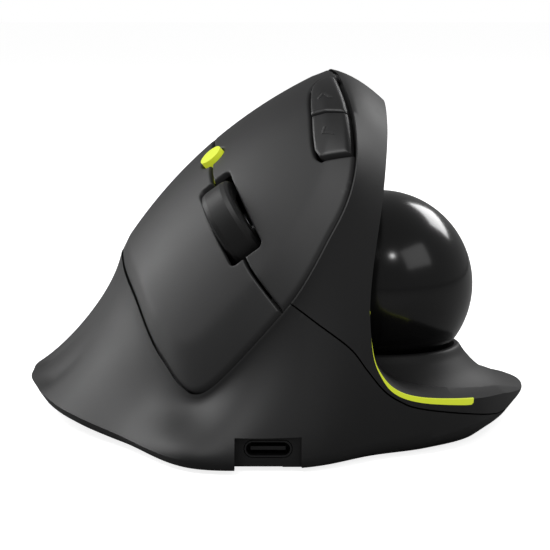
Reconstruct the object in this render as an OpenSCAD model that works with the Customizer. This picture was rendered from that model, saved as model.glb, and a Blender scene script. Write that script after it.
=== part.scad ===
// Vertical trackball mouse for the right hand, +Z up, nose towards -Y,
// thumb side towards +X. The origin is on the resting surface, mid body.

/* [Body] */
// Overall width across the two wings
body_w = 106; // [88:1:128]
// Overall length from nose to heel
body_l = 122; // [101:1:147]
// Overall height to the top of the ridge
body_h = 74; // [61:1:89]
// Wall of the moulded shells
wall = 2.2; // [1.8:0.1:2.7]
// Gap round the moving plates
gap = 0.5; // [0.4:0.05:0.7]
// Gap along the fixed seams
seam = 0.3; // [0.2:0.05:0.4]
// How far the face rolls down at its front border
roll_drop = 1.6; // [1:0.1:2]

/* [Trackball] */
// Diameter of the ball
ball_d = 40; // [33:0.5:42]
// Clearance between the ball and its cup
ball_gap = 0.7; // [0.5:0.1:1]
// Wall of the ball cup
cup_wall = 1.8; // [1.4:0.1:2.4]
// Diameter of the three support balls
bearing_d = 3; // [2.5:0.1:3.5]

/* [Scroll wheel] */
// Diameter over the tyre
wheel_d = 24; // [20:0.5:26]
// Width of the tyre
wheel_t = 6.4; // [5.2:0.2:7.8]
// How far the wheel stands out of the face
wheel_out = 4; // [3:0.2:5]
// Diameter of the wheel axle
axle_d = 3; // [2.4:0.1:3.6]

/* [Buttons] */
// Width of the resolution button
dpi_w = 5.4; // [4.4:0.2:6.6]
// Travel of the small buttons
press = 0.4; // [0.3:0.05:0.5]
// How far the side buttons stand proud
side_proud = 0.5; // [0.3:0.1:0.7]
// Width of the accent strip at its wide end
strip_w = 1.1; // [0.8:0.1:1.4]

/* [Base] */
// Thickness of the glide feet
feet_t = 0.8; // [0.6:0.1:1]
// Thickness of the base plate
base_t = 1.6; // [1.4:0.1:2]
// Thickness of the circuit boards
board_t = 1.2; // [1:0.1:1.6]

/* [Hidden] */

// The form is described at this size and stretched to the overall sizes.
form = [106, 122, 74];
stretch = [body_w / form[0], body_l / form[1], body_h / form[2]];
dark = [0.16, 0.16, 0.17];
mid = [0.22, 0.22, 0.23];
lime = [0.91, 0.96, 0.25];
white_plastic = [0.9, 0.9, 0.88];
steel = [0.75, 0.76, 0.78];
board_green = [0.1, 0.35, 0.2];

// Stations round the body, counter-clockwise seen from above, starting at
// the left front corner. Each has the ground point, the widest point, the
// border of the face in the face's own plane, and the pull of the flank's
// curve: out and down from the face, in and up from the widest point.
stations = [
    [[-15.5, -58.8], [-16, -59.2, 2.2], [-2.4, -46.3], [0.5, 4, 0.5, 4]],
    [[5, -58.2], [5.5, -58.6, 2.2], [20.4, -48.1], [0.5, 6, 0.5, 8]],
    [[18.6, -48], [20, -48.6, 2.6], [36.8, -42.9], [3, 11, 1, 14]],
    [[29.5, -41.5], [32, -42, 3.2], [46.3, -36.4], [6, 12, 2, 18]],
    [[39.5, -30.5], [43.5, -30, 4.6], [52.5, -26.5], [10, 9, 4, 24]],
    [[45, -11], [52, -9, 5.6], [56.2, -13], [13, 3, 5, 28]],
    [[45.5, 10], [52.85, 12, 4.8], [57.2, 6], [14, 2, 5, 28]],
    [[39, 33], [44.5, 35, 3.6], [54, 26], [11, 6, 4, 24]],
    [[24, 51], [26.5, 53, 3.4], [45, 41], [8, 7, 1, 18]],
    [[4, 58.8], [4.5, 60.4, 4], [30, 48], [7, 5, -1, 16]],
    [[-18, 56], [-20, 58.2, 5.5], [14, 47], [5, 6, 0, 12]],
    [[-35, 43], [-39.5, 45, 6.5], [2, 37], [3, 7, 5, 8]],
    [[-44, 22], [-51, 24, 7.6], [-3.5, 20], [2, 8, 8, 7]],
    [[-46, 1], [-53, 2, 7], [-4.4, 2], [2, 9, 10, 5]],
    [[-40.5, -19], [-45.5, -19.5, 5], [-4.6, -18], [2, 8, 8, 6]],
    [[-29.5, -37.5], [-31.5, -38.5, 3], [-6, -35], [1, 6, 4, 5]]];
stations_n = len(stations);
steps = 4;
ring_n = stations_n * steps;

// Face frame: p runs up the slope, q along +Y, n out of the face.
slope = 40.54;
face_mid = [27, -2];
face_top = 52.4;
face_long = 0.0095;
face_heel = 0.0006;
face_cross = 0.005;
face_q0 = 8;
roll_from = 0.86;
flank_rows = 8;

function pull(q) = q > face_q0 ? 1 + face_heel * pow(q - face_q0, 2) : 1;
function face_n(p, q) =
    face_top - face_long * pull(q) * pow(q - face_q0, 2) - face_cross * pow(p - face_mid[0], 2);
function soft(x) = x <= 0 ? 0 : x >= 1 ? 1 : x * x * (3 - 2 * x);
// The border rolls down in front and fades out towards the heel.
function roll(s, q) =
    roll_drop * pow(max(0, (s - roll_from) / (1 - roll_from)), 2) * soft((18 - q) / 20);
function scaled(v) = [v[0] * stretch[0], v[1] * stretch[1], v[2] * stretch[2]];
function from_face(p, q, n) =
    scaled([p * cos(slope) - n * sin(slope), q, p * sin(slope) + n * cos(slope)]);

function spline(a, b, c, d, t) =
    0.5 * (2 * b + (c - a) * t + (2 * a - 5 * b + 4 * c - d) * t * t
    + (3 * b - a - 3 * c + d) * t * t * t);
// Value k of the stations at ring index i, on a closed smooth curve.
function at(k, i) =
    let (m = floor(i / steps), t = i / steps - m)
    spline(stations[(m + stations_n - 1) % stations_n][k], stations[m % stations_n][k],
        stations[(m + 1) % stations_n][k], stations[(m + 2) % stations_n][k], t);

function flat_unit(v) = let (l = norm([v[0], v[1]])) [v[0] / l, v[1] / l, 0];
function plain(v) = [v[0] / stretch[0], v[1] / stretch[1], v[2] / stretch[2]];
function border(i) = let (e = at(2, i)) plain(from_face(e[0], e[1], face_n(e[0], e[1]) - roll(1, e[1])));
function bezier(a, b, c, d, t) =
    pow(1 - t, 3) * a + 3 * pow(1 - t, 2) * t * b + 3 * (1 - t) * t * t * c + t * t * t * d;
// Flank point: rows 0 to 2 run from the ground to the widest point, the
// rest up the flank to the border of the face.
function flank(i, j) =
    let (g = at(0, i), l = at(1, i), e = border(i), w = at(3, i), out = flat_unit(l - e))
    scaled(j == 0 ? [g[0], g[1], feet_t]
        : j == 1 ? [0.35 * g[0] + 0.65 * l[0], 0.35 * g[1] + 0.65 * l[1], feet_t + 0.45 * (l[2] - feet_t)]
        : bezier(l, l - w[2] * out + [0, 0, w[3]], e + w[0] * out - [0, 0, w[1]], e,
            (j - 2) / flank_rows));
last_row = flank_rows + 2;
function flank_normal(i, j) =
    let (du = flank(i + 1, j) - flank(i + ring_n - 1, j),
        dv = flank(i, min(j + 1, last_row)) - flank(i, max(j - 1, 0)), c = cross(du, dv))
    c / norm(c);

// Ring of the face at share s of its outline, drawn in by e, lowered by d
// and started part of a step further round.
function face_ring(s, d, e, turn = 0) = [for (i = [0:ring_n - 1])
    let (b = at(2, i + turn) - face_mid, k = s * (1 - e / norm(b)), v = face_mid + k * b)
    from_face(v[0], v[1], face_n(v[0], v[1]) - roll(s, v[1]) - d)];
outer_shares = [0.965, 0.93, 0.89, 0.8, 0.66, 0.48, 0.27];
inner_shares = [0.86, 0.72, 0.54, 0.3];

function band(r, c) = [for (i = [0:ring_n - 1]) let (k = (i + 1) % ring_n)
    each [[c + i, c + i + ring_n, c + k + ring_n], [c + i, c + k + ring_n, c + k]]];
// Closed skin through a pile of rings, with a flat foot and a point on top.
module skin(rings, tip) {
    n = len(rings);
    polyhedron(points = concat([for (r = rings) each r], [tip]),
        faces = concat([[for (i = [0:ring_n - 1]) i]],
            [for (j = [0:n - 2]) each band(j, j * ring_n)],
            [for (i = [0:ring_n - 1]) [(n - 1) * ring_n + i, n * ring_n, (n - 1) * ring_n + (i + 1) % ring_n]]));
}
module outer_skin()
    skin(concat([for (j = [0:last_row]) [for (i = [0:ring_n - 1]) flank(i, j)]],
        [for (s = outer_shares) face_ring(s, 0, 0)]),
        from_face(face_mid[0], face_mid[1], face_n(face_mid[0], face_mid[1])));
function inner_point(i, j, t) =
    let (f = flank(i, j) - t * flank_normal(i, j))
    j == 0 ? [f[0], f[1], -4] : j == last_row ? f - t * [-sin(slope), 0, cos(slope)] : f;
module inner_skin(t)
    skin(concat([for (j = [0:last_row]) if (j != 1) [for (i = [0:ring_n - 1]) inner_point(i, j, t)]],
        [for (s = inner_shares) face_ring(s, t, 0)]),
        from_face(face_mid[0], face_mid[1], face_n(face_mid[0], face_mid[1]) - t));
// Curved slab that follows the face between two depths.
module face_slab(top, bottom, inset, shares, turn = 0) {
    rings = concat([for (k = [len(shares) - 1:-1:0]) face_ring(shares[k], bottom, inset, turn)],
        [for (s = shares) face_ring(s, top, inset, turn)]);
    n = len(rings);
    low = from_face(face_mid[0], face_mid[1], face_n(face_mid[0], face_mid[1]) - bottom);
    high = from_face(face_mid[0], face_mid[1], face_n(face_mid[0], face_mid[1]) - top);
    polyhedron(points = concat([for (r = rings) each r], [low, high]),
        faces = concat([for (i = [0:ring_n - 1]) [n * ring_n, i, (i + 1) % ring_n]],
            [for (j = [0:n - 2]) each band(j, j * ring_n)],
            [for (i = [0:ring_n - 1])
                [(n - 1) * ring_n + i, n * ring_n + 1, (n - 1) * ring_n + (i + 1) % ring_n]]));
}
plate_shares = concat([1], outer_shares);

// Thumb channel: profile across the body, from the floor to the ridge.
channel = [[58, 7], [47, 9], [38, 9.6], [28.6, 10.8], [23.6, 12.6], [20.6, 15.8], [19, 20], [18.4, 28],
    [19.2, 37], [21.2, 49], [22.8, 61], [23.2, 67], [23.6, 90]];
// The channel and its seam fall towards the heel by this slope.
heel_fall = 0.07;
seam_fall = 0.045;
fall_from = -38;
module side_prism(points, low_y, high_y, grow = 0, fall = heel_fall)
    multmatrix([[1, 0, 0, 0], [0, 1, 0, 0],
        [0, -fall * stretch[2] / stretch[1], 1, fall * fall_from * stretch[2]]])
        translate([0, high_y * stretch[1], 0]) rotate([90, 0, 0])
            linear_extrude(height = (high_y - low_y) * stretch[1]) offset(delta = grow)
                polygon([for (v = points) [v[0] * stretch[0], v[1] * stretch[2]]]);
module thumb_channel(t)
    side_prism(concat(channel, [[90, 90], [90, 7]]), -90, 90, t);

// Room under the plates for their travel
key_room = press + 1.8;
// Sliver of the face's border that stays on the shells
rim = 0.25;

// Trackball seat
seat_turn = 3.3;
collar_turn = 3.7;
ball_r = ball_d / 2;
ball_pos = scaled([22.4, 0, 0]) + [0, 0, 27.6 * stretch[2]];
collar_low = ball_pos[2] - 0.91 * ball_r;
collar_top = ball_pos[2] - 0.64 * ball_r;
cup_in = ball_r + ball_gap;
cup_out = cup_in + cup_wall;
module collar()
    translate([ball_pos[0], ball_pos[1], 0]) rotate([0, 0, collar_turn]) rotate_extrude($fn = 60)
        polygon([[8, collar_low - 2], [ball_r + 4.5, collar_low - 2], [ball_r + 4.5, collar_low - 0.6],
            [ball_r + 1, collar_low + 1], [ball_r - 1.8, collar_top - 1.2], [ball_r - 3.2, collar_top],
            [8, collar_top]]);

module housing()
    difference() {
        union() {
            difference() {
                outer_skin();
                thumb_channel(0);
            }
            collar();
        }
        difference() {
            inner_skin(wall);
            intersection() {
                thumb_channel(wall);
                translate([-100, -100, base_top + 0.15]) cube(200);
            }
        }
        translate(ball_pos) for (a = [60, 300]) at_bearing(a + 0.3) translate([0, 0, ball_r - 3])
            cylinder(d = bearing_d + 0.4, h = bearing_d + 3.3, $fn = 24);
        face_slab(-6, wall + key_room, rim, [1, 0.9, 0.7, 0.4], 0.47);
        translate(ball_pos) rotate([0, 0, seat_turn]) sphere(r = cup_in, $fn = 60);
    }

// Seam between the thumb shell and the lower shell, seen from the nose
thumb_seam = [[1.4, 31], [7.6, 26.4], [14.3, 21.2], [17.7, 16.8], [21.1, 12.6], [24.5, 10.2], [28.2, 8.7],
    [38, 6.5], [47.7, 4.6], [60, 3.6]];
thumb_area = concat([[1.4, 90]], thumb_seam, [[60, 90]]);

// Places on the face, as [p, q]
wheel_at = [22.1, -26.5];
dpi_at = [25.9, -6.5];
seam_line = [[27.6, 12], [27, 0], [25.9, -6.5], [23.7, -13.7], [20.5, -34], [19.6, -42], [20.4, -60]];
side_line = [[62, -0.5], [54.6, -0.5], [50.7, -5.6], [47, -17.8], [43.3, -27.6], [43.4, -30.6], [62, -33.5]];
side_split = [[47, -17.8], [70, -27.5]];
hinge_q = 12;
wheel_yaw = 7.5;
function lean(q) = atan((stretch[2] / stretch[1]) * -2 * face_long * (q - face_q0));
tilt = atan2(sin(slope) * stretch[2], cos(slope) * stretch[0]);
module on_face(at_pq, lift)
    translate(from_face(at_pq[0], at_pq[1], face_n(at_pq[0], at_pq[1])))
        rotate([lean(at_pq[1]), -tilt, 0]) translate([0, 0, lift]) children();
// Straight prism along the face's normal, from an outline in p and q
module face_prism(points)
    multmatrix([[cos(slope) * stretch[0], 0, -sin(slope) * stretch[0], 0], [0, stretch[1], 0, 0],
        [sin(slope) * stretch[2], 0, cos(slope) * stretch[2], 0], [0, 0, 0, 1]])
        linear_extrude(height = 90) polygon(points);

wheel_r = wheel_d / 2;
wheel_depth = wheel_r - wheel_out;
slot_w = wheel_t + 1.8;
slot_l = 2 * sqrt(wheel_r * wheel_r - pow(wheel_depth - 1, 2)) + 3.6;
module wheel_slot()
    on_face(wheel_at, 0) rotate([0, 0, -wheel_yaw])
        cube([slot_w, slot_l, 16], center = true);
module dpi_hole() on_face(dpi_at, -5) cylinder(d = dpi_w + gap, h = 12, $fn = 32);

side_far = 80;
module plates()
    difference() {
        face_slab(0, wall, gap, plate_shares);
        wheel_slot();
        dpi_hole();
        face_prism(side_line);
    }
module index_button() color(dark)
    resize([0, 0, 0]) union() {
        key_rib(click_at[1]);
        intersection() {
            plates();
            face_prism(concat([for (v = seam_line) v + [gap / 2, v[1] == hinge_q ? -gap / 2 : 0]],
                [[side_far, -60], [side_far, hinge_q - gap / 2]]));
        }
    }
module middle_button() color(dark)
    resize([0, 0, 0]) union() {
        key_rib(click_at[0]);
        intersection() {
            plates();
            face_prism(concat([for (v = seam_line) v - [gap / 2, v[1] == hinge_q ? gap / 2 : 0]],
                [[-side_far, -60], [-side_far, hinge_q - gap / 2]]));
        }
    }
// Rib that reaches down to the plunger of a click switch
module key_rib(v) on_face(v, -3.2) translate([-1.2, -4, 0]) cube([2.4, 3, 1.8]);
module palm_cover() color(dark)
    resize([0, 0, 0]) intersection() {
        face_slab(0, wall, seam + 0.2, plate_shares);
        face_prism([[-side_far, hinge_q + gap / 2], [side_far, hinge_q + gap / 2], [side_far, 90], [-side_far, 90]]);
    }
module side_button(points, mark)
    resize([0, 0, 0]) union() {
        intersection() {
            face_slab(-side_proud, wall, gap, plate_shares);
            face_prism(points);
        }
        intersection() {
            face_slab(-side_proud - 0.25, 0, gap + 1.5, [0.99, 0.9, 0.8]);
            face_prism(mark);
        }
    }
module forward_button() color(dark)
    side_button([[62, -0.5 - gap], [54.6 + gap / 2, -0.5 - gap], [50.7 + gap, -5.6], [47 + gap, -17.8 + gap / 2],
        [62, -24.1 + gap / 2]],
        [[50.6, -13.2], [52.6, -11.4], [53.4, -14.6], [52.7, -14.4], [52.3, -12.5], [50.9, -13.8]]);
module back_button() color(dark)
    side_button([[62, -24.1 - gap / 2], [47 + gap, -17.8 - gap / 2], [43.3 + gap, -27.6], [43.4 + gap, -30.6 + gap],
        [62, -33.5 + gap]],
        [[48.2, -23.2], [46.9, -25], [48.9, -26.4], [49, -25.7], [47.6, -24.9], [48.7, -23.6]]);

// Shells
recess_x = [-7.6, 5];
recess_top = 6.6;
panel_y = -57.4 * stretch[1];
port_z = 4.3;
port_size = [8.94, 7.3, 3.16];
port_wall = 0.3;
port_x = -1.3;
module stadium(w, h, len) {
    r = h / 2;
    for (s = [-1, 1]) translate([s * (w / 2 - r), 0, 0]) rotate([-90, 0, 0]) cylinder(r = r, h = len, $fn = 32);
    translate([-(w / 2 - r), 0, -r]) cube([w - h, len, h]);
}
module lower_shell() color(dark)
    resize([0, 0, 0]) difference() {
        union() {
            difference() {
                housing();
                side_prism(thumb_area, -90, 90, 0, seam_fall);
            }
            intersection() {
                translate([recess_x[0] - 1.5, panel_y, feet_t + base_t + 0.1])
                    cube([recess_x[1] - recess_x[0] + 3, 2, 7]);
                outer_skin();
            }
        }
        translate([recess_x[0], panel_y - 10, -1]) cube([recess_x[1] - recess_x[0], 10, recess_top + 1]);
        translate([port_x, panel_y - 1, port_z]) stadium(port_size[0] + 0.3, port_size[2] + 0.3, 5);
    }
module strip_band()
    side_prism(concat([[18.35, 28], [18.9, 20], [20.3, 15.7], [23.1, 12], [28.3, 9.9], [38, 8.4], [39.6, 8.6]],
        [[41, 20], [18.6, 28.2]]), -90, -18, strip_w - 1.1);
module thumb_shell() color(dark)
    resize([0, 0, 0]) difference() {
        intersection() {
            housing();
            translate([seam * 0.5, 0, seam]) side_prism(thumb_area, -90, 90, 0, seam_fall);
        }
        difference() {
            strip_band();
            inner_skin(1.1);
        }
    }
module accent_strip() color(lime)
    resize([0, 0, 0]) difference() {
        intersection() {
            outer_skin();
            strip_band();
        }
        inner_skin(1);
        thumb_channel(0);
    }

// Inner frame under the face, on posts that stand on the base plate
frame_depth = 13.7;
base_top = feet_t + base_t;
posts = [[-16.2, -14], [-16.2, 22], [-6, 30], [-12, -30]];
function under(x, y, n, k) =
    let (p = (x / stretch[0] + n * sin(slope)) / cos(slope))
    k == 0 ? (p * sin(slope) + n * cos(slope)) * stretch[2]
        : under(x, y, face_n(p, y / stretch[1]) - frame_depth, k - 1);
module inner_frame() color(mid)
    resize([0, 0, 0]) difference() {
        union() {
            intersection() {
                face_slab(frame_depth, frame_depth + 2, 7, [1, 0.5]);
                face_prism([[-20, -40], [30, -40], [44, -14], [80, 2], [80, 34], [-20, 34]]);
            }
            for (v = posts) let (x = v[0] * stretch[0], y = v[1] * stretch[1])
                translate([x, y, base_top]) cylinder(r = 3, h = under(x, y, 40, 12) - base_top - 1, $fn = 24);
        }
        for (v = posts)
            translate([v[0] * stretch[0], v[1] * stretch[1], base_top - 1]) cylinder(r = 1.1, h = 9, $fn = 24);
        on_face(wheel_at, -frame_depth) rotate([0, 0, -wheel_yaw]) cube([2 * arm_x + 4.2, wheel_d + 4, 16], center = true);
        on_face(dpi_at, -frame_depth) cylinder(r = 4.5, h = 12, center = true, $fn = 24);
    }

// Base
function inset_ring(d) = [for (i = [0:ring_n - 1])
    let (a = flank(i, 0), t = flank(i + 1, 0) - flank(i + ring_n - 1, 0), l = norm(t))
    [a[0] - d * t[1] / l, a[1] + d * t[0] / l]];
feet = [[-1, -46, 22, 0], [-36, -6, 14, 90], [36, -8, 14, 90], [0, 48, 26, 0]];
module pad(v, w, h, len) translate([v[0] * stretch[0], v[1] * stretch[1], 0]) rotate([0, 0, v[3]]) {
    cube([len - w, w, h * 2], center = true);
    for (s = [-1, 1]) translate([s * (len - w) / 2, 0, -h]) cylinder(d = w, h = h * 2, $fn = 32);
}
module glide_feet() color([0.08, 0.08, 0.08])
    intersection() {
        union() for (v = feet) pad(v, 7, feet_t, v[2]);
        translate([-100, -100, 0]) cube([200, 200, feet_t]);
    }
switch_at = [-20, 34];
pair_at = [-11.8, 36.6];
receiver_at = [10, 33];
receiver_size = [14, 19, 5];
module base_plate() color(mid)
    difference() {
        union() {
            translate([0, 0, feet_t]) linear_extrude(height = base_t) polygon(inset_ring(wall + 0.6));
            for (v = board_posts) translate([v[0], v[1], base_top - 0.1]) cylinder(r = 2.2, h = board_z - base_top + 0.1, $fn = 24);
            at_base(receiver_at) translate([-receiver_size[0] / 2 - 1.4, -receiver_size[1] / 2 - 1.4, base_top - 0.1])
                cube([receiver_size[0] + 2.8, receiver_size[1] + 2.8, 5.4]);
        }
        translate([recess_x[0] - 2.2, -90, -1]) cube([recess_x[1] - recess_x[0] + 4.4, 90 + panel_y + 2.6, 9]);
        for (v = posts) translate([v[0] * stretch[0], v[1] * stretch[1], 0]) {
            cylinder(r = 1.1, h = 9, $fn = 24);
            cylinder(r = 2.3, h = feet_t + 0.8, $fn = 24);
        }
        at_base(receiver_at) translate([-receiver_size[0] / 2 - 0.2, -receiver_size[1] / 2 - 0.2, 0])
            cube([receiver_size[0] + 0.4, receiver_size[1] + 0.4, feet_t + receiver_size[2] + 0.5]);
        at_base(switch_at) translate([-4, -2.2, 0]) cube([8, 4.4, 9]);
        at_base(pair_at) cylinder(d = 5, h = 9, $fn = 32);
    }
module at_base(v) translate([v[0] * stretch[0], v[1] * stretch[1], 0]) children();
module case_screws() color(steel)
    for (v = posts) translate([v[0] * stretch[0], v[1] * stretch[1], feet_t]) {
        difference() {
            cylinder(r = 2.1, h = 0.8, $fn = 24);
            for (a = [0, 90]) rotate([0, 0, a]) cube([2.4, 0.5, 0.8], center = true);
        }
        translate([0, 0, 0.7]) cylinder(r = 1, h = 8, $fn = 24);
    }
module receiver() color([0.12, 0.12, 0.13])
    at_base(receiver_at) translate([0, 0, feet_t]) {
        translate([-7, -9.5, 0]) cube([14, 7, 5]);
        difference() {
            translate([-6, -2.6, 0.2]) cube([12, 12.1, 4.5]);
            translate([-5.6, -2, 2.3]) cube([11.2, 12, 2]);
        }
    }
module power_switch() color(lime)
    at_base(switch_at) translate([-2.2, -1.9, feet_t - 0.3]) {
        cube([2.8, 3.8, 2.2]);
        translate([-1.6, -1.2, 2]) cube([6, 6.2, 1]);
    }
module pairing_button() color(mid)
    at_base(pair_at) {
        translate([0, 0, feet_t + 0.1]) cylinder(d = 4.6, h = 2, $fn = 32);
        translate([0, 0, feet_t + 2]) cylinder(d = 6.4, h = 0.8, $fn = 32);
    }

// Electronics
board_z = port_z + port_size[2] / 2;
board_area = [[-22, -38], [-8, -50], [-6.5, -53], [4, -53], [6, -50], [6, -26], [-22, -22]];
board_posts = [[-18, -30], [4, -30], [2, -46]];
module main_board() color(board_green)
    difference() {
        translate([0, 0, board_z]) linear_extrude(height = board_t) polygon([for (v = board_area) [v[0], v[1] * stretch[1]]]);
        translate([posts[3][0] * stretch[0], posts[3][1] * stretch[1], 0]) cylinder(r = 3.4, h = 20, $fn = 24);
    }
module usb_c_port() color(steel)
    translate([port_x, panel_y, port_z]) {
        difference() {
            stadium(port_size[0], port_size[2], port_size[1]);
            translate([0, -0.1, 0]) stadium(port_size[0] - 2 * port_wall, port_size[2] - 2 * port_wall, port_size[1] - 0.7);
        }
        translate([-3.3, 0.8, -0.35]) cube([6.6, port_size[1] - 1, 0.7]);
    }
module battery() color([0.75, 0.77, 0.8])
    at_base([-4, 4]) translate([-9, -15, base_top]) cube([18, 30, 6]);
switch_size = [5.8, 12.8, 6.5];
// Places of the two click switches and of the side boards, as [p, q]
click_at = [[10, -22], [36, -22]];
side_at = [48, -17];
// Depth of a flat board that rests on the curved frame at this place
function rest_depth(v) = frame_depth * cos(lean(v[1])) - 0.9;
module button_board() color(board_green)
    for (v = click_at) on_face(v, -rest_depth(v))
        translate([-4, -9, 0]) cube([8, 18, board_t]);
module click_switches() color([0.1, 0.1, 0.11])
    for (v = click_at) on_face(v, -rest_depth(v) + board_t) {
        translate([-switch_size[0] / 2, -switch_size[1] / 2, 0]) cube([switch_size[0], switch_size[1], 5.2]);
        translate([-0.6, -3.6, 5]) cube([1.2, 2.2, 1]);
    }
module side_board() color(board_green)
    on_face(side_at, -wall - 5.6) translate([-2.6, -9, 0]) cube([5.2, 16, board_t]);
module side_switches() color(steel)
    for (y = [-6, 3.6]) on_face(side_at, -wall - 5.6 + board_t) translate([0, y, 0]) {
        translate([-2, -2, 0]) cube([4, 4, 1.6]);
        cylinder(d = 2, h = 2.4, $fn = 24);
    }

// Scroll wheel, in the frame of its own axle
module at_wheel() on_face(wheel_at, -wheel_depth) rotate([0, 0, -wheel_yaw]) children();
tyre_in = wheel_r - 2.4;
module wheel_tyre() color([0.1, 0.1, 0.1])
    at_wheel() rotate([0, 90, 0]) rotate_extrude($fn = 72)
        polygon([[tyre_in, -wheel_t / 2 + 0.2], [wheel_r - 0.8, -wheel_t / 2], [wheel_r - 0.2, -wheel_t / 2 + 0.5],
            [wheel_r, -wheel_t / 2 + 1.4], [wheel_r, wheel_t / 2 - 1.4], [wheel_r - 0.2, wheel_t / 2 - 0.5],
            [wheel_r - 0.8, wheel_t / 2], [tyre_in, wheel_t / 2 - 0.2]]);
module wheel_hub() color(mid)
    at_wheel() rotate([0, 90, 0]) difference() {
        rotate_extrude($fn = 72)
            polygon([[axle_d / 2, -2.4], [4, -2.4], [4.5, -1], [tyre_in - 1.6, -1], [tyre_in - 1.4, -wheel_t / 2 + 0.1],
                [tyre_in, -wheel_t / 2 + 0.1], [tyre_in, wheel_t / 2 - 0.1], [tyre_in - 1.4, wheel_t / 2 - 0.1],
                [tyre_in - 1.6, 1], [4.5, 1], [4, 2.4], [axle_d / 2, 2.4]]);
        for (a = [0:60:300]) rotate([0, 0, a]) translate([6.2, 0, -3]) cylinder(r = 1.1, h = 6, $fn = 24);
    }
arm_x = wheel_t / 2 + 1.2;
module wheel_axle() color(steel)
    at_wheel() rotate([0, 90, 0]) cylinder(d = axle_d, h = 2 * arm_x + 5, center = true, $fn = 32);
module wheel_carrier() color(mid)
    at_wheel() difference() {
        union() {
            for (s = [-1, 1]) translate([s * (arm_x + 0.9), 0, 0]) {
                rotate([0, 90, 0]) cylinder(d = axle_d + 3, h = 1.8, center = true, $fn = 32);
                translate([-0.9, -(axle_d + 3) / 2, -wheel_r - 2]) cube([1.8, axle_d + 3, wheel_r + 2]);
            }
            translate([-arm_x - 1.8, -4.5, -wheel_r - 3]) cube([2 * arm_x + 3.6, 9, 1.6]);
        }
        rotate([0, 90, 0]) cylinder(d = axle_d + 0.1, h = 40, center = true, $fn = 32);
    }
module dpi_button() color(lime)
    on_face(dpi_at, 0) {
        translate([0, 0, -wall - 1.2]) cylinder(d = dpi_w - 0.2, h = wall + 2, $fn = 32);
        translate([0, 0, -wall - 2]) cylinder(d = dpi_w + 1.6, h = 0.9, $fn = 32);
    }

// Ball, its cup, the three support balls and the sensor
module trackball() color([0.03, 0.03, 0.03]) translate(ball_pos) sphere(d = ball_d, $fn = 96);
seat_polar = 42;
module at_bearing(a) rotate([0, 0, a]) rotate([0, 180 - seat_polar, 0]) children();
bearing_c = ball_r + bearing_d / 2 + 0.05;
module ball_cup() color(mid)
    translate(ball_pos) difference() {
        union() {
            sphere(r = cup_out, $fn = 64);
            for (a = [60, 180, 300]) at_bearing(a) cylinder(d = bearing_d + 2, h = bearing_c + bearing_d / 2 + 0.8, $fn = 32);
        }
        sphere(r = cup_in, $fn = 64);
        for (a = [60, 180, 300]) at_bearing(a) cylinder(d = bearing_d + 0.04, h = bearing_c + bearing_d / 2, $fn = 32);
        translate([-6.6 * stretch[0], -50, -50]) cube(100);
        translate([-50, -50, -0.4 * ball_r]) cube([100, 50 - 0.5 * ball_r, 100]);
        rotate([0, -115, 0]) cylinder(d = 5, h = 40, $fn = 32);
    }
module support_balls() color(white_plastic)
    translate(ball_pos) for (a = [60, 180, 300]) at_bearing(a) translate([0, 0, bearing_c]) sphere(d = bearing_d, $fn = 32);
module at_sensor() translate(ball_pos) rotate([0, -115, 0]) children();
module sensor_lens() color([0.8, 0.85, 0.9])
    at_sensor() translate([0, 0, cup_in + 0.3]) cylinder(d = 4.6, h = cup_wall + 0.5, $fn = 32);
module sensor_board() color(board_green)
    at_sensor() translate([-6, -8, cup_in + cup_wall + 0.8]) cube([12, 16, board_t]);

lower_shell();
thumb_shell();
palm_cover();
inner_frame();
base_plate();
glide_feet();
case_screws();
index_button();
middle_button();
forward_button();
back_button();
dpi_button();
wheel_tyre();
wheel_hub();
wheel_axle();
wheel_carrier();
trackball();
ball_cup();
support_balls();
sensor_board();
sensor_lens();
accent_strip();
main_board();
usb_c_port();
battery();
button_board();
click_switches();
side_board();
side_switches();
power_switch();
pairing_button();
receiver();
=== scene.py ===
import math

import bmesh
import bpy
import numpy as np
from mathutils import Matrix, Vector
from mathutils.geometry import delaunay_2d_cdt


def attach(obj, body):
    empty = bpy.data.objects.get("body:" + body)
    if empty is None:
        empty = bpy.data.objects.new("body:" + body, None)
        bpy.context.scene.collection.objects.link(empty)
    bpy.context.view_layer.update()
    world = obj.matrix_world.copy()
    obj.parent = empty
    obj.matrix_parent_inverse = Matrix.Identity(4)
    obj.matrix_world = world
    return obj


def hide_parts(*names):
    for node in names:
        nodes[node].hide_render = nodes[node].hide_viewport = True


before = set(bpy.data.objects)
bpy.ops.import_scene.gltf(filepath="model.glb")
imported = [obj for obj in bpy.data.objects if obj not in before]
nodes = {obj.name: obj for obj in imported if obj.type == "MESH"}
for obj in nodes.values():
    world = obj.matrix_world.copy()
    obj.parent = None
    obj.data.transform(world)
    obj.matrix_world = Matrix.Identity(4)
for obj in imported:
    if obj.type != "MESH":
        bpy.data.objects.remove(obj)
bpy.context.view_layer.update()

scene = bpy.context.scene
mm = 0.001
print("frame loaded", len(nodes), "nodes")

view = {"distance": 0.430, "elevation": 8.0, "targetHeight": 0.0293, "lens": 130.9, "sensor": 36,
        "clip": (0.01, 20)}
camData = bpy.data.cameras.new("mainCamera")
camera = bpy.data.objects.new("mainCamera", camData)
scene.collection.objects.link(camera)
rise = math.radians(view["elevation"])
camera.location = (0, -view["distance"] * math.cos(rise),
                   view["targetHeight"] + view["distance"] * math.sin(rise))
camera.rotation_euler = (math.pi / 2 - rise, 0, 0)
camData.lens, camData.sensor_width = view["lens"], view["sensor"]
camData.clip_start, camData.clip_end = view["clip"]
scene.camera = camera

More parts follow.
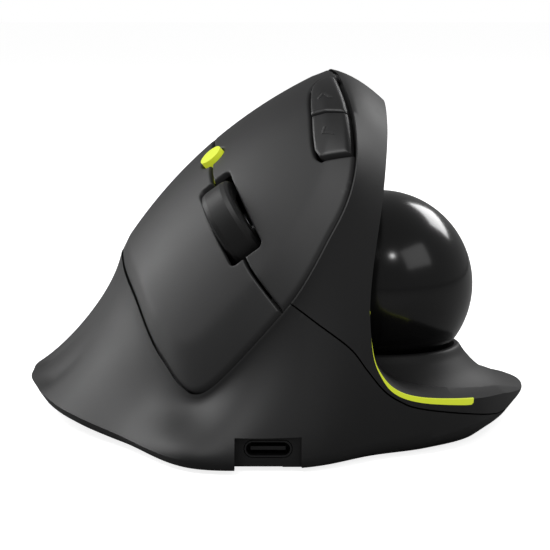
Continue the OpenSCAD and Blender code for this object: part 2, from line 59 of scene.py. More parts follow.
# The moulded form, in millimetres: the same stations as the design. Each holds
# the ground point, the widest point, the border of the face and the curve's pulls.
form = {
    "stations": [
        [(-15.5, -58.8), (-16, -59.2, 2.2), (-2.4, -46.3), (0.5, 4, 0.5, 4)],
        [(5, -58.2), (5.5, -58.6, 2.2), (20.4, -48.1), (0.5, 6, 0.5, 8)],
        [(18.6, -48), (20, -48.6, 2.6), (36.8, -42.9), (3, 11, 1, 14)],
        [(29.5, -41.5), (32, -42, 3.2), (46.3, -36.4), (6, 12, 2, 18)],
        [(39.5, -30.5), (43.5, -30, 4.6), (52.5, -26.5), (10, 9, 4, 24)],
        [(45, -11), (52, -9, 5.6), (56.2, -13), (13, 3, 5, 28)],
        [(45.5, 10), (52.85, 12, 4.8), (57.2, 6), (14, 2, 5, 28)],
        [(39, 33), (44.5, 35, 3.6), (54, 26), (11, 6, 4, 24)],
        [(24, 51), (26.5, 53, 3.4), (45, 41), (8, 7, 1, 18)],
        [(4, 58.8), (4.5, 60.4, 4), (30, 48), (7, 5, -1, 16)],
        [(-18, 56), (-20, 58.2, 5.5), (14, 47), (5, 6, 0, 12)],
        [(-35, 43), (-39.5, 45, 6.5), (2, 37), (3, 7, 5, 8)],
        [(-44, 22), (-51, 24, 7.6), (-3.5, 20), (2, 8, 8, 7)],
        [(-46, 1), (-53, 2, 7), (-4.4, 2), (2, 9, 10, 5)],
        [(-40.5, -19), (-45.5, -19.5, 5), (-4.6, -18), (2, 8, 8, 6)],
        [(-29.5, -37.5), (-31.5, -38.5, 3), (-6, -35), (1, 6, 4, 5)]],
    "ringSteps": 20, "flankRows": 36, "footRows": 2, "flankSpan": 8, "footOut": 0.65, "footUp": 0.45,
    "wall": 2.2, "gap": 0.5, "seam": 0.3, "feet": 0.8,
    "faceMid": (27.0, -2.0), "slope": 40.54, "faceTop": 52.4, "faceLong": 0.0095, "faceHeel": 0.0006,
    "faceCross": 0.005, "faceQ0": 8.0, "rollFrom": 0.86, "rollDrop": 1.6, "rollPower": 1.08,
    "rollEnd": 18, "rollFade": 20,
    "channel": [(47, 9), (38, 9.6), (28.6, 10.8), (23.6, 12.6), (20.6, 15.8), (19, 20), (18.4, 28),
                (19.2, 37), (21.2, 49), (22.8, 61), (23.2, 67)],
    "thumbSeam": [(1.4, 31), (7.6, 26.4), (14.3, 21.2), (17.7, 16.8), (21.1, 12.6), (24.5, 10.2),
                  (28.2, 8.7), (38, 6.5), (47.7, 4.6), (60, 3.6)],
    "flutes": {"at": (12.1, 12.75, 13.4, 6.2, 6.8), "depth": 1.1, "width": 0.17, "crest": 0.05, "reach": 0.3,
               "footDepth": 0.25, "fullAt": 0.08},
    "heelFall": 0.07, "seamFall": 0.045, "fallFrom": -38.0}
count = len(form["stations"])
faceMid = np.array(form["faceMid"])
topRow = form["footRows"] + form["flankSpan"]
sinS, cosS = math.sin(math.radians(form["slope"])), math.cos(math.radians(form["slope"]))


def between(a, b, c, d, t):
    # smooth curve from b to c, with a and d as the neighbours that set its direction
    return 0.5 * (2 * b + (c - a) * t + (2 * a - 5 * b + 4 * c - d) * t ** 2 + (3 * b - a - 3 * c + d) * t ** 3)


def splineAt(column, u):
    # closed smooth curve through one column of the stations
    table = np.array([s[column] for s in form["stations"]], float)
    u = np.asarray(u, float)
    m = np.floor(u).astype(int)
    return between(*(table[(m + k) % count] for k in (-1, 0, 1, 2)), (u - m)[..., None])


def smoothCurve(points, steps=8):
    # open smooth curve through the given points
    pts = np.array(points, float)
    pts = np.vstack([2 * pts[0] - pts[1], pts, 2 * pts[-1] - pts[-2]])
    out = []
    for k in range(1, len(pts) - 2):
        out += [between(*pts[k - 1:k + 3], t) for t in np.arange(steps) / steps]
    out.append(pts[-2])
    return [tuple(v) for v in out]


def soft(x):
    x = np.clip(x, 0, 1)
    return x * x * (3 - 2 * x)


def faceHeight(p, q):
    towardsHeel = np.maximum(q - form["faceQ0"], 0)
    pull = 1 + form["faceHeel"] * towardsHeel ** 2
    return (form["faceTop"] - form["faceLong"] * pull * (q - form["faceQ0"]) ** 2
            - form["faceCross"] * (p - faceMid[0]) ** 2)


def rollDown(share, q):
    over = np.maximum(0, (share - form["rollFrom"]) / (1 - form["rollFrom"]))
    return form["rollDrop"] * over ** form["rollPower"] * soft((form["rollEnd"] - q) / form["rollFade"])


def fromFace(p, q, n):
    return np.stack([p * cosS - n * sinS, q, p * sinS + n * cosS], -1)


borderTable = splineAt(2, np.arange(0, count, 0.01)) - faceMid
borderTurn = np.unwrap(np.arctan2(borderTable[:, 1], borderTable[:, 0]))


def shareAt(p, q):
    # share of the way from the middle of the face to its border
    v = np.stack([p, q], -1) - faceMid
    turn = np.arctan2(v[..., 1], v[..., 0])
    turn = borderTurn[0] + np.mod(turn - borderTurn[0], 2 * math.pi)
    reach = np.interp(turn, borderTurn, np.linalg.norm(borderTable, axis=1))
    return np.linalg.norm(v, axis=-1) / reach


def faceSurface(p, q):
    return faceHeight(p, q) - rollDown(np.minimum(shareAt(p, q), 1), q)


def fluteDepth(u):
    # shallow finger flutes that run up the left wing
    f = form["flutes"]
    depth = np.zeros_like(u)
    for at in f["at"]:
        depth += f["depth"] * np.exp(-((np.mod(u, count) - at) / f["width"]) ** 2)
    return depth


def flank(u, j):
    # row j of the side: the foot rows first, then a curve from the widest line up to the border
    u = np.asarray(u, float)
    g, l, e2, w = (splineAt(k, u) for k in range(4))
    e = fromFace(e2[:, 0], e2[:, 1], faceHeight(e2[:, 0], e2[:, 1]) - rollDown(1.0, e2[:, 1]))
    out = (l - e)[:, :2]
    out = np.hstack([out / np.linalg.norm(out, axis=1)[:, None], np.zeros((len(u), 1))])
    up = np.array([0, 0, 1.0])
    feet = form["feet"]
    if j < form["footRows"]:
        k, z = (m * j if j <= 1 else m + (1 - m) * (j - 1) for m in (form["footOut"], form["footUp"]))
        flat = (1 - k) * g + k * l[:, :2]
        return np.hstack([flat, (feet + z * (l[:, 2:] - feet))])
    t = (j - form["footRows"]) / form["flankSpan"]
    f = form["flutes"]
    grow = f["footDepth"] + (1 - f["footDepth"]) * min(1, t / f["fullAt"])
    l = l - fluteDepth(u)[:, None] * math.exp(-((t - f["crest"]) / f["reach"]) ** 2) * out * grow
    b = l - w[:, 2:3] * out + w[:, 3:4] * up
    c = e + w[:, 0:1] * out - w[:, 1:2] * up
    return (1 - t) ** 3 * l + 3 * (1 - t) ** 2 * t * b + 3 * (1 - t) * t * t * c + t ** 3 * e


def flankNormal(u, j, step=0.25):
    c = np.cross(flank(u + step, j) - flank(u - step, j),
                 flank(u, min(j + 1, topRow)) - flank(u, max(j - 1, 0)))
    return c / np.linalg.norm(c, axis=1)[:, None]


def faceRing(share, depth, inset, u):
    b = splineAt(2, u) - faceMid
    k = share * (1 - inset / np.linalg.norm(b, axis=1))
    v = faceMid + k[:, None] * b
    return fromFace(v[:, 0], v[:, 1], faceHeight(v[:, 0], v[:, 1]) - rollDown(share, v[:, 1]) - depth)


ringU = np.arange(count * form["ringSteps"]) / form["ringSteps"]


def newObject(name, verts, faces):
    mesh = bpy.data.meshes.new(name)
    mesh.from_pydata([tuple(float(c) * mm for c in v) for v in verts], [], faces)
    mesh.update()
    obj = bpy.data.objects.new(name, mesh)
    scene.collection.objects.link(obj)
    return obj


def fixNormals(obj):
    work = bmesh.new()
    work.from_mesh(obj.data)
    bmesh.ops.recalc_face_normals(work, faces=work.faces)
    work.to_mesh(obj.data)
    work.free()


def pileOf(name, rings, tips):
    # closed skin through a pile of rings, closed by a point or a flat cap at each end
    n = len(rings[0])
    verts = [tuple(v) for r in rings for v in r]
    faces = []
    for j in range(len(rings) - 1):
        for i in range(n):
            k = (i + 1) % n
            faces.append((j * n + i, j * n + k, (j + 1) * n + k, (j + 1) * n + i))
    for end, tip in zip((0, len(rings) - 1), tips):
        if tip is None:
            faces.append(tuple(end * n + i for i in range(n)))
        else:
            verts.append(tuple(tip))
            faces += [(end * n + i, end * n + (i + 1) % n, len(verts) - 1) for i in range(n)]
    obj = newObject(name, verts, faces)
    fixNormals(obj)
    return obj


def faceTip(depth):
    return fromFace(faceMid[0], faceMid[1], faceHeight(*faceMid) - depth)


def outerSkin():
    # the rings lie close together where the face rolls down to its border
    rows = list(np.arange(0, form["footRows"], 0.5))
    rows += list(form["footRows"] + form["flankSpan"] * np.arange(form["flankRows"] + 1) / form["flankRows"])
    rings = [flank(ringU, j) for j in rows]
    shares = (0.98, 0.96, 0.94, 0.92, 0.9, 0.88, 0.86, 0.8, 0.7, 0.6, 0.48, 0.34, 0.2)
    rings += [faceRing(s, 0, 0, ringU) for s in shares]
    return pileOf("outerSkin", rings, (None, faceTip(0)))


def innerSkin(t, below=-4):
    # the skin moved in by t and open to below the ground
    rings = []
    for j in [0] + list(range(form["footRows"], topRow + 1)):
        f = flank(ringU, j) - t * flankNormal(ringU, j)
        if j == 0:
            f[:, 2] = below
        if j == topRow:
            f = f - t * np.array([-sinS, 0, cosS])
        rings.append(f)
    rings += [faceRing(s, t, 0, ringU) for s in (0.86, 0.72, 0.54, 0.3)]
    return pileOf("innerSkin", rings, (None, faceTip(t)))


def faceSlab(top, bottom, inset, shares, lean=3, leanHeight=1.3, turn=0.02):
    # the foot of its side wall leans in, so it stays inside the flank
    u = ringU + turn
    rings = [faceRing(s, bottom, inset + lean, u) for s in shares[::-1]]
    rings += [faceRing(1, bottom - leanHeight, inset, u)]
    rings += [faceRing(s, top, inset, u) for s in shares]
    return pileOf("faceSlab", rings, (faceTip(bottom), faceTip(top)))


def grown(points, d):
    # mitred offset of a closed outline, out for a positive distance
    pts = np.array(points, float)
    area = 0.5 * np.sum(pts[:, 0] * np.roll(pts[:, 1], -1) - np.roll(pts[:, 0], -1) * pts[:, 1])
    side = 1 if area > 0 else -1
    ahead = np.roll(pts, -1, 0) - pts
    ahead /= np.linalg.norm(ahead, axis=1)[:, None]
    normal = side * np.stack([ahead[:, 1], -ahead[:, 0]], 1)
    before = np.roll(normal, 1, 0)
    both = normal + before
    return pts + d * both / (1 + np.sum(normal * before, axis=1))[:, None]


def sidePrism(name, points, lowY, highY, grow=0.0, fall=form["heelFall"], shift=(0, 0)):
    # prism along Y of an outline in x and z, which sinks towards the heel
    pts = grown(points, grow) if grow else np.array(points, float)
    pts = pts + np.array(shift)
    rings = []
    for y in (lowY, highY):
        rings.append(np.stack([pts[:, 0], np.full(len(pts), y),
                               pts[:, 1] - fall * (y - form["fallFrom"])], 1))
    return pileOf(name, rings, (None, None))


def lathe(name, profile, centre, n, start):
    # solid of revolution about Z through (radius, height) points, with a flat cap at each end
    a = start + np.arange(n) * 2 * math.pi / n
    rings = [np.stack([r * np.cos(a), r * np.sin(a), np.full(n, h)], 1) + np.array(centre) for r, h in profile]
    return pileOf(name, rings, (None, None))


def combined(target, operation, cutter, keep=False):
    change = target.modifiers.new("change", "BOOLEAN")
    change.operation, change.object, change.solver = operation, cutter, "MANIFOLD"
    graph = bpy.context.evaluated_depsgraph_get()
    made = bpy.data.meshes.new_from_object(target.evaluated_get(graph), depsgraph=graph)
    target.modifiers.clear()
    old = target.data
    target.data = made
    bpy.data.meshes.remove(old)
    if not keep:
        bpy.data.objects.remove(cutter)
    return target


def copyOf(obj, name):
    twin = obj.copy()
    twin.data = obj.data.copy()
    twin.name = name
    scene.collection.objects.link(twin)
    return twin


def shadeSmooth(obj, angle=32, tiny=2e-7):
    work = bmesh.new()
    work.from_mesh(obj.data)
    bmesh.ops.remove_doubles(work, verts=work.verts, dist=tiny)
    bmesh.ops.dissolve_degenerate(work, edges=work.edges, dist=tiny)
    for f in work.faces:
        f.smooth = True
    limit = math.radians(angle)
    for e in work.edges:
        e.smooth = e.is_manifold and e.calc_face_angle(0) < limit
    work.to_mesh(obj.data)
    work.free()


ball = {"place": (22.4, 0.0, 27.6), "radius": 20.0, "clearance": 0.7, "collarShare": 0.64, "collarFoot": 2.6,
        "bore": 8, "run": 15}
ballCentre = np.array(ball["place"])
far = 90  # clear of the body on every side
channelOutline = [(far, far), (far, 7), (58, 7)] + smoothCurve(form["channel"], 10) + [(23.6, far)]
seamOutline = [(1.4, far)] + smoothCurve(form["thumbSeam"]) + [(60, far)]


def ballCut(radius, pole=0.02, rows=90):
    profile = [(radius * math.sin(a), -radius * math.cos(a)) for a in np.linspace(pole, math.pi - pole, rows)]
    return lathe("ballCut", profile, ballCentre, n=180, start=0.01)


def collarSolid():
    # seat ring round the ball that runs out softly into the thumb rest
    r, top = ball["radius"], ballCentre[2] - ball["collarShare"] * ball["radius"]
    profile = [(ball["bore"], ball["collarFoot"]), (r + ball["run"], ball["collarFoot"])]
    profile += smoothCurve([(r + ball["run"], 4.6), (r + 10, 5.9), (r + 5, 7.6), (r + 1.5, 9.7),
                            (r - 1.3, 12.6), (r - 2.6, top - 0.3)])
    profile += [(r - 2.9, top - 0.05), (r - 3.2, top), (ball["bore"], top)]
    ring = lathe("collar", profile, (ballCentre[0], ballCentre[1], 0), n=200, start=0.013)
    return combined(ring, "INTERSECT", copyOf(skinTwin, "collarLimit"))


def stadium(name, centre, width, height, depth, n=24):
    # slot-shaped prism along +Y from its centre point
    r = height / 2
    outline = []
    for s, a0 in ((1, -math.pi / 2), (-1, math.pi / 2)):
        for k in range(n + 1):
            a = a0 + math.pi * k / n
            outline.append((s * (width / 2 - r) + r * math.cos(a), r * math.sin(a)))
    rings = [np.array([(centre[0] + x, centre[1] + y, centre[2] + z) for x, z in outline])
             for y in (0, depth)]
    return pileOf(name, rings, (None, None))


def boxSolid(name, low, high):
    a, b = low, high
    verts = [(x, y, z) for x in (a[0], b[0]) for y in (a[1], b[1]) for z in (a[2], b[2])]
    faces = [(0, 1, 3, 2), (4, 6, 7, 5), (0, 4, 5, 1), (2, 3, 7, 6), (0, 2, 6, 4), (1, 5, 7, 3)]
    obj = newObject(name, verts, faces)
    fixNormals(obj)
    return obj


shell = {"overBase": 2.55, "slabTop": -6, "slabBelow": 0.4, "slabInset": 0.2,
         "slabShares": [1, 0.96, 0.92, 0.88, 0.7, 0.4]}
housing = outerSkin()
skinTwin = copyOf(housing, "skinTwin")
combined(housing, "DIFFERENCE", sidePrism("channel", channelOutline, -far, far))
combined(housing, "UNION", collarSolid())
hollow = innerSkin(form["wall"])
restWall = sidePrism("channelWall", channelOutline, -far - 1, far + 1, form["wall"])
combined(restWall, "INTERSECT", boxSolid("overBase", (-100, -100, shell["overBase"]), (120, 100, 120)))
combined(hollow, "DIFFERENCE", restWall)
combined(housing, "DIFFERENCE", hollow)
combined(housing, "DIFFERENCE", faceSlab(shell["slabTop"], form["wall"] + shell["slabBelow"],
                                         shell["slabInset"], shell["slabShares"]))
combined(housing, "DIFFERENCE", ballCut(ball["radius"] + ball["clearance"]))
print("housing cut")

# The nose holds the port in a flat panel, set back in a recess.
recess = {"x": (-7.6, 5.0), "top": 6.6, "bottom": -1, "panelY": -57.4, "panelZ": (0.9, 9.5), "panelThick": 2,
          "panelSide": 1.5, "ahead": 10, "port": (-1.3, 4.3), "portSize": (8.94, 3.16), "portGap": 0.3,
          "portDepth": 5}
panelY, (recessLeft, recessRight) = recess["panelY"], recess["x"]
lowerShell = copyOf(housing, "lowerShell")
combined(lowerShell, "DIFFERENCE", sidePrism("seamCut", seamOutline, -far, far, fall=form["seamFall"]))
panel = boxSolid("panel", (recessLeft - recess["panelSide"], panelY, recess["panelZ"][0]),
                 (recessRight + recess["panelSide"], panelY + recess["panelThick"], recess["panelZ"][1]))
combined(panel, "INTERSECT", skinTwin, keep=True)
combined(lowerShell, "UNION", panel)
combined(lowerShell, "DIFFERENCE",
         boxSolid("recessCut", (recessLeft, panelY - recess["ahead"], recess["bottom"]),
                  (recessRight, panelY, recess["top"])))
portWidth, portHeight = (side + recess["portGap"] for side in recess["portSize"])
combined(lowerShell, "DIFFERENCE", stadium("portCut", (recess["port"][0], panelY - 1, recess["port"][1]),
                                           portWidth, portHeight, recess["portDepth"]))
thumbShell = housing
thumbShell.name = "thumbShell"
combined(thumbShell, "INTERSECT", sidePrism("seamKeep", seamOutline, -far, far, fall=form["seamFall"],
                                            shift=(form["seam"] * 0.5, form["seam"])))

# The strip fills a shallow groove along the lower edge of the thumb channel.
strip = {"line": [(18.35, 28), (18.9, 20), (20.3, 15.7), (23.1, 12), (28.3, 9.9), (38, 8.4), (39.6, 8.6)],
         "close": [(41, 20), (18.6, 28.2)], "endY": -18, "depth": 1.0, "grooveDepth": 1.1}
stripBand = sidePrism("stripBand", smoothCurve(strip["line"]) + strip["close"], -far, strip["endY"])
stripCut = copyOf(stripBand, "stripCut")
combined(stripCut, "DIFFERENCE", innerSkin(strip["grooveDepth"]))
combined(thumbShell, "DIFFERENCE", stripCut)
accentStrip = skinTwin
accentStrip.name = "accentStrip"
combined(accentStrip, "INTERSECT", stripBand)
combined(accentStrip, "DIFFERENCE", innerSkin(strip["depth"]))
combined(accentStrip, "DIFFERENCE", sidePrism("channelStrip", channelOutline, -far, far))
for piece in (lowerShell, thumbShell, accentStrip):
    shadeSmooth(piece)
print("shells built", len(lowerShell.data.polygons), len(thumbShell.data.polygons))

# The plates on the face are drawn in its own plane: p across, q along, in millimetres.
plate = {"hingeQ": 12.0, "thick": 1.15, "round": 0.5, "pitch": 1.1, "edgeStep": 0.35, "inset": 0.75,
         "wheel": (22.1, -26.5), "wheelYaw": 7.5, "slot": (7.8, 21.4, 1.2), "dpi": (25.9, -6.5), "dpiHole": 5.9}
seamLine = smoothCurve([(27.6, 12.6), (27.6, 12), (27, 0), (25.9, -6.5), (23.7, -13.7), (20.5, -34),
                        (19.6, -42), (20.4, -60)])
sideLine = smoothCurve([(54.6, -0.5), (50.7, -5.6), (47, -17.8), (43.3, -27.6), (43.4, -30.6)])
sideLine = [(62, -0.5)] + sideLine + [(62, -33.5)]


def inside(points, outline):
    # which points lie inside a closed outline
    pts, poly = np.asarray(points, float), np.asarray(outline, float)
    x, y = pts[:, 0:1], pts[:, 1:2]
    x1, y1 = poly[:, 0], poly[:, 1]
    x2, y2 = np.roll(x1, -1), np.roll(y1, -1)
    cross = ((y1 > y) != (y2 > y)) & (x < (x2 - x1) * (y - y1) / np.where(y2 == y1, 1e-12, y2 - y1) + x1)
    return np.sum(cross, axis=1) % 2 == 1


def awayFrom(points, segments, chunk=2000):
    # distance of each point to the nearest segment
    pts = np.asarray(points, float)
    a, b = segments[:, 0], segments[:, 1]
    ab = b - a
    length = np.maximum(np.sum(ab * ab, axis=1), 1e-12)
    best = np.full(len(pts), 1e9)
    for k in range(0, len(pts), chunk):
        d = pts[k:k + chunk, None] - a[None]
        t = np.clip(np.sum(d * ab, axis=2) / length, 0, 1)
        best[k:k + chunk] = np.linalg.norm(d - t[..., None] * ab, axis=2).min(1)
    return best


def dense(outline, step):
    # the outline with a point at least every step
    out, n = [], len(outline)
    for k in range(n):
        a, b = np.array(outline[k], float), np.array(outline[(k + 1) % n], float)
        parts = max(1, int(math.ceil(np.linalg.norm(b - a) / step)))
        out += [tuple(a + (b - a) * t / parts) for t in range(parts)]
    return out


def borderOutline(inset, steps=24):
    b = splineAt(2, np.arange(0, count, 1 / steps)) - faceMid
    return [tuple(v) for v in faceMid + b * (1 - inset / np.linalg.norm(b, axis=1))[:, None]]


def triangulated(outlines, test, extra):
    # flat mesh of the part that passes the test, with every outline as edges
    verts, edges = [], []
    for line in outlines:
        start = len(verts)
        verts += [Vector(v) for v in line]
        edges += [(start + k, start + (k + 1) % len(line)) for k in range(len(line))]
    verts += [Vector(v) for v in extra]
    outVerts, _, outFaces, _, _, _ = delaunay_2d_cdt(verts, edges, [], 0, 1e-5)
    outVerts = np.array([tuple(v) for v in outVerts])
    tris = np.array([f for f in outFaces if len(f) == 3])
    return outVerts, tris[test(outVerts[tris].mean(1))]


def rimOf(tris):
    edges = np.sort(np.vstack([tris[:, [0, 1]], tris[:, [1, 2]], tris[:, [2, 0]]]), axis=1)
    found, uses = np.unique(edges, axis=0, return_counts=True)
    return found[uses == 1]


rimSteps = np.array([0.08, 0.2, 0.36, 0.56, 0.8, 1.05, 1.6])


def plateSolid(name, outlines, test, thickness, lift=0.0, rounding=plate["round"], pitch=plate["pitch"]):
    # plate whose top follows the face, with a rounded rim all round
    lines = [dense(o, plate["edgeStep"]) for o in outlines]
    pts, tris = triangulated(lines, test, [])
    rim = rimOf(tris)
    segments = pts[rim]
    middle, along = segments.mean(1), segments[:, 1] - segments[:, 0]
    normal = np.stack([along[:, 1], -along[:, 0]], 1)
    normal = normal / np.maximum(np.linalg.norm(along, axis=1), 1e-9)[:, None]
    extra = []
    for d in rounding * rimSteps:
        both = np.vstack([middle + normal * d, middle - normal * d])
        both = both[test(both)]
        extra.append(both[awayFrom(both, segments) > 0.93 * d])
    low, high = pts[np.unique(rim)].min(0), pts[np.unique(rim)].max(0)
    gx, gy = np.meshgrid(np.arange(low[0], high[0], pitch), np.arange(low[1], high[1], pitch))
    gx, gy = gx.ravel(), gy.ravel()
    grid = np.stack([gx + 0.5 * pitch * (np.round((gy - low[1]) / pitch) % 2), gy], 1)
    grid = grid[test(grid)]
    extra.append(grid[awayFrom(grid, segments) > 2.2 * rounding])
    pts, tris = triangulated([[tuple(v) for v in line] for line in lines], test, np.vstack(extra))
    used = np.unique(tris)
    index = -np.ones(len(pts), int)
    index[used] = np.arange(len(used))
    pts, tris = pts[used], index[tris]
    d = awayFrom(pts, segments)
    arc = np.sqrt(np.maximum(0, rounding ** 2 - (rounding - np.minimum(d, rounding)) ** 2))
    drop = np.where(d < rounding, rounding - arc, 0)
    surface = faceSurface(pts[:, 0], pts[:, 1])
    top = fromFace(pts[:, 0], pts[:, 1], surface + lift - drop)
    bottom = fromFace(pts[:, 0], pts[:, 1], surface - thickness)
    n = len(pts)
    faces = [tuple(t) for t in tris] + [tuple(t[::-1] + n) for t in tris]
    for a, b in rimOf(tris):
        faces.append((a, b, b + n, a + n))
    obj = newObject(name, np.vstack([top, bottom]), [tuple(int(i) for i in f) for f in faces])
    fixNormals(obj)
    shadeSmooth(obj, 40)
    return obj


def slotOutline(steps=8):
    # rounded oblong round the wheel, turned with it
    w, l, r = plate["slot"]
    out = []
    for sx, sy, a0 in ((1, 1, 0), (-1, 1, 90), (-1, -1, 180), (1, -1, 270)):
        for k in range(steps + 1):
            a = math.radians(a0 + 90 * k / steps)
            out.append((sx * (w / 2 - r) + r * math.cos(a), sy * (l / 2 - r) + r * math.sin(a)))
    yaw = -math.radians(plate["wheelYaw"])
    c, s = math.cos(yaw), math.sin(yaw)
    return [(plate["wheel"][0] + x * c - y * s, plate["wheel"][1] + x * s + y * c) for x, y in out]


def ringOutline(centre, diameter, n=48):
    turns = [2 * math.pi * k / n for k in range(n)]
    return [(centre[0] + diameter / 2 * math.cos(a), centre[1] + diameter / 2 * math.sin(a)) for a in turns]


gap = form["gap"]
plateOutline = borderOutline(plate["inset"])
wheelOutline, dpiOutline = slotOutline(), ringOutline(plate["dpi"], plate["dpiHole"])
hinge = plate["hingeQ"] - gap / 2
rightArea = [(x + gap / 2, min(y, hinge)) for x, y in seamLine] + [(90, -60), (90, hinge)]
leftArea = [(x - gap / 2, min(y, hinge)) for x, y in seamLine] + [(-80, -60), (-80, hinge)]


def within(areas, holes=()):
    # test for the points inside every area and outside every hole
    def test(points):
        keep = inside(points, areas[0])
        for area in areas[1:]:
            keep &= inside(points, area)
        for hole in holes:
            keep &= ~inside(points, hole)
        return keep
    return test


indexHoles = [wheelOutline, dpiOutline, sideLine]
indexButton = plateSolid("indexButton", [plateOutline, rightArea] + indexHoles,
                         within([plateOutline, rightArea], indexHoles), plate["thick"])
middleHoles = [wheelOutline, dpiOutline]
middleButton = plateSolid("middleButton", [plateOutline, leftArea] + middleHoles,
                          within([plateOutline, leftArea], middleHoles), plate["thick"])
palm = {"inset": form["seam"] + 0.2, "frontQ": plate["hingeQ"] + gap / 2}
palmAreas = [borderOutline(palm["inset"]), [(-80, palm["frontQ"]), (90, palm["frontQ"]), (90, 90), (-80, 90)]]
palmCover = plateSolid("palmCover", palmAreas, within(palmAreas), plate["thick"])

# The two thumb-side keys stand a little proud of the face and carry raised chevrons.
sideKeys = {"inset": 1.25, "proud": 0.5, "round": 0.7, "pitch": 0.6,
            "forward": [(62, -1.0), (55.4, -1.0), (54.3, -1.5), (51.2, -5.6), (47.5, -17.55), (62, -23.85)],
            "back": [(62, -24.35), (47.5, -18.05), (43.8, -27.6), (43.8, -29.8), (44.2, -30.2), (62, -33.0)]}
marks = {"thick": 0.2, "raised": 0.15, "round": 0.12, "pitch": 0.3,
         "forward": [(50.6, -13.2), (52.6, -11.4), (53.4, -14.6), (52.7, -14.4), (52.3, -12.5), (50.9, -13.8)],
         "back": [(48.2, -23.2), (46.9, -25), (48.9, -26.4), (49, -25.7), (47.6, -24.9), (48.7, -23.6)]}
sideOutline = borderOutline(sideKeys["inset"])


def sideKey(name, which):
    areas = [sideOutline, sideKeys[which]]
    return plateSolid(name, areas, within(areas), plate["thick"], sideKeys["proud"], sideKeys["round"],
                      sideKeys["pitch"])


def chevron(name, which):
    return plateSolid(name, [marks[which]], within([marks[which]]), marks["thick"],
                      sideKeys["proud"] + marks["raised"], marks["round"], marks["pitch"])


forwardButton, backButton = sideKey("forwardButton", "forward"), sideKey("backButton", "back")
forwardMark, backMark = chevron("forwardMark", "forward"), chevron("backMark", "back")
print("plates built")


def newGroup(name, inputs, outputs):
    group = bpy.data.node_groups.new(name, "ShaderNodeTree")
    for label, kind, default in inputs:
        socket = group.interface.new_socket(name=label, in_out="INPUT", socket_type=kind)
        socket.default_value = default
    for label, kind in outputs:
        group.interface.new_socket(name=label, in_out="OUTPUT", socket_type=kind)
    start, end = group.nodes.new("NodeGroupInput"), group.nodes.new("NodeGroupOutput")
    return group, start, end


def mouldedGrainGroup():
    # fine spark-eroded grain with slow cloudy variation: a height and a 0 to 1 mask
    group, start, end = newGroup("mouldedGrain",
                                 [("Grain Size", "NodeSocketFloat", 5000.0),
                                  ("Cloud Size", "NodeSocketFloat", 60.0)],
                                 [("Height", "NodeSocketFloat"), ("Cloud", "NodeSocketFloat")])
    coarser, fineShare = 0.4, 0.6
    link = group.links.new
    coords = group.nodes.new("ShaderNodeTexCoord")
    fine, coarse, cloud = (group.nodes.new("ShaderNodeTexNoise") for _ in range(3))
    fine.inputs["Detail"].default_value = 2
    coarse.inputs["Detail"].default_value = 1
    cloud.inputs["Detail"].default_value = 3
    wider = group.nodes.new("ShaderNodeMath")
    wider.operation = "MULTIPLY"
    wider.inputs[1].default_value = coarser
    mixed = group.nodes.new("ShaderNodeMath")
    mixed.operation = "MULTIPLY_ADD"
    mixed.inputs[1].default_value = fineShare
    for node in (fine, coarse, cloud):
        link(coords.outputs["Object"], node.inputs["Vector"])
    link(start.outputs["Grain Size"], fine.inputs["Scale"])
    link(start.outputs["Grain Size"], wider.inputs[0])
    link(wider.outputs[0], coarse.inputs["Scale"])
    link(start.outputs["Cloud Size"], cloud.inputs["Scale"])
    link(fine.outputs["Fac"], mixed.inputs[0])
    link(coarse.outputs["Fac"], mixed.inputs[2])
    link(mixed.outputs[0], end.inputs["Height"])
    link(cloud.outputs["Fac"], end.inputs["Cloud"])
    return group


def paintedEdgeHighlightGroup():
    # painted highlight: mask of the sharp convex edges, broken up by noise, where a lighter colour stands in
    # for the light that rounded edges would catch
    group, start, end = newGroup("paintedEdgeHighlight",
                                 [("Amount", "NodeSocketFloat", 0.5), ("Break Up", "NodeSocketFloat", 900.0)],
                                 [("Mask", "NodeSocketFloat")])
    link = group.links.new
    shape = group.nodes.new("ShaderNodeNewGeometry")
    ramp = group.nodes.new("ShaderNodeMapRange")
    ramp.inputs["From Min"].default_value, ramp.inputs["From Max"].default_value = 0.53, 0.66
    coords = group.nodes.new("ShaderNodeTexCoord")
    noise = group.nodes.new("ShaderNodeTexNoise")
    noise.inputs["Detail"].default_value = 4
    broken = group.nodes.new("ShaderNodeMath")
    broken.operation = "MULTIPLY"
    amount = group.nodes.new("ShaderNodeMath")
    amount.operation, amount.use_clamp = "MULTIPLY", True
    link(shape.outputs["Pointiness"], ramp.inputs["Value"])
    link(coords.outputs["Object"], noise.inputs["Vector"])
    link(start.outputs["Break Up"], noise.inputs["Scale"])
    link(ramp.outputs["Result"], broken.inputs[0])
    link(noise.outputs["Fac"], broken.inputs[1])
    link(broken.outputs[0], amount.inputs[0])
    link(start.outputs["Amount"], amount.inputs[1])
    link(amount.outputs[0], end.inputs["Mask"])
    return group


mouldedGrain, paintedEdgeHighlight = mouldedGrainGroup(), paintedEdgeHighlightGroup()
grainDepth = 0.00002


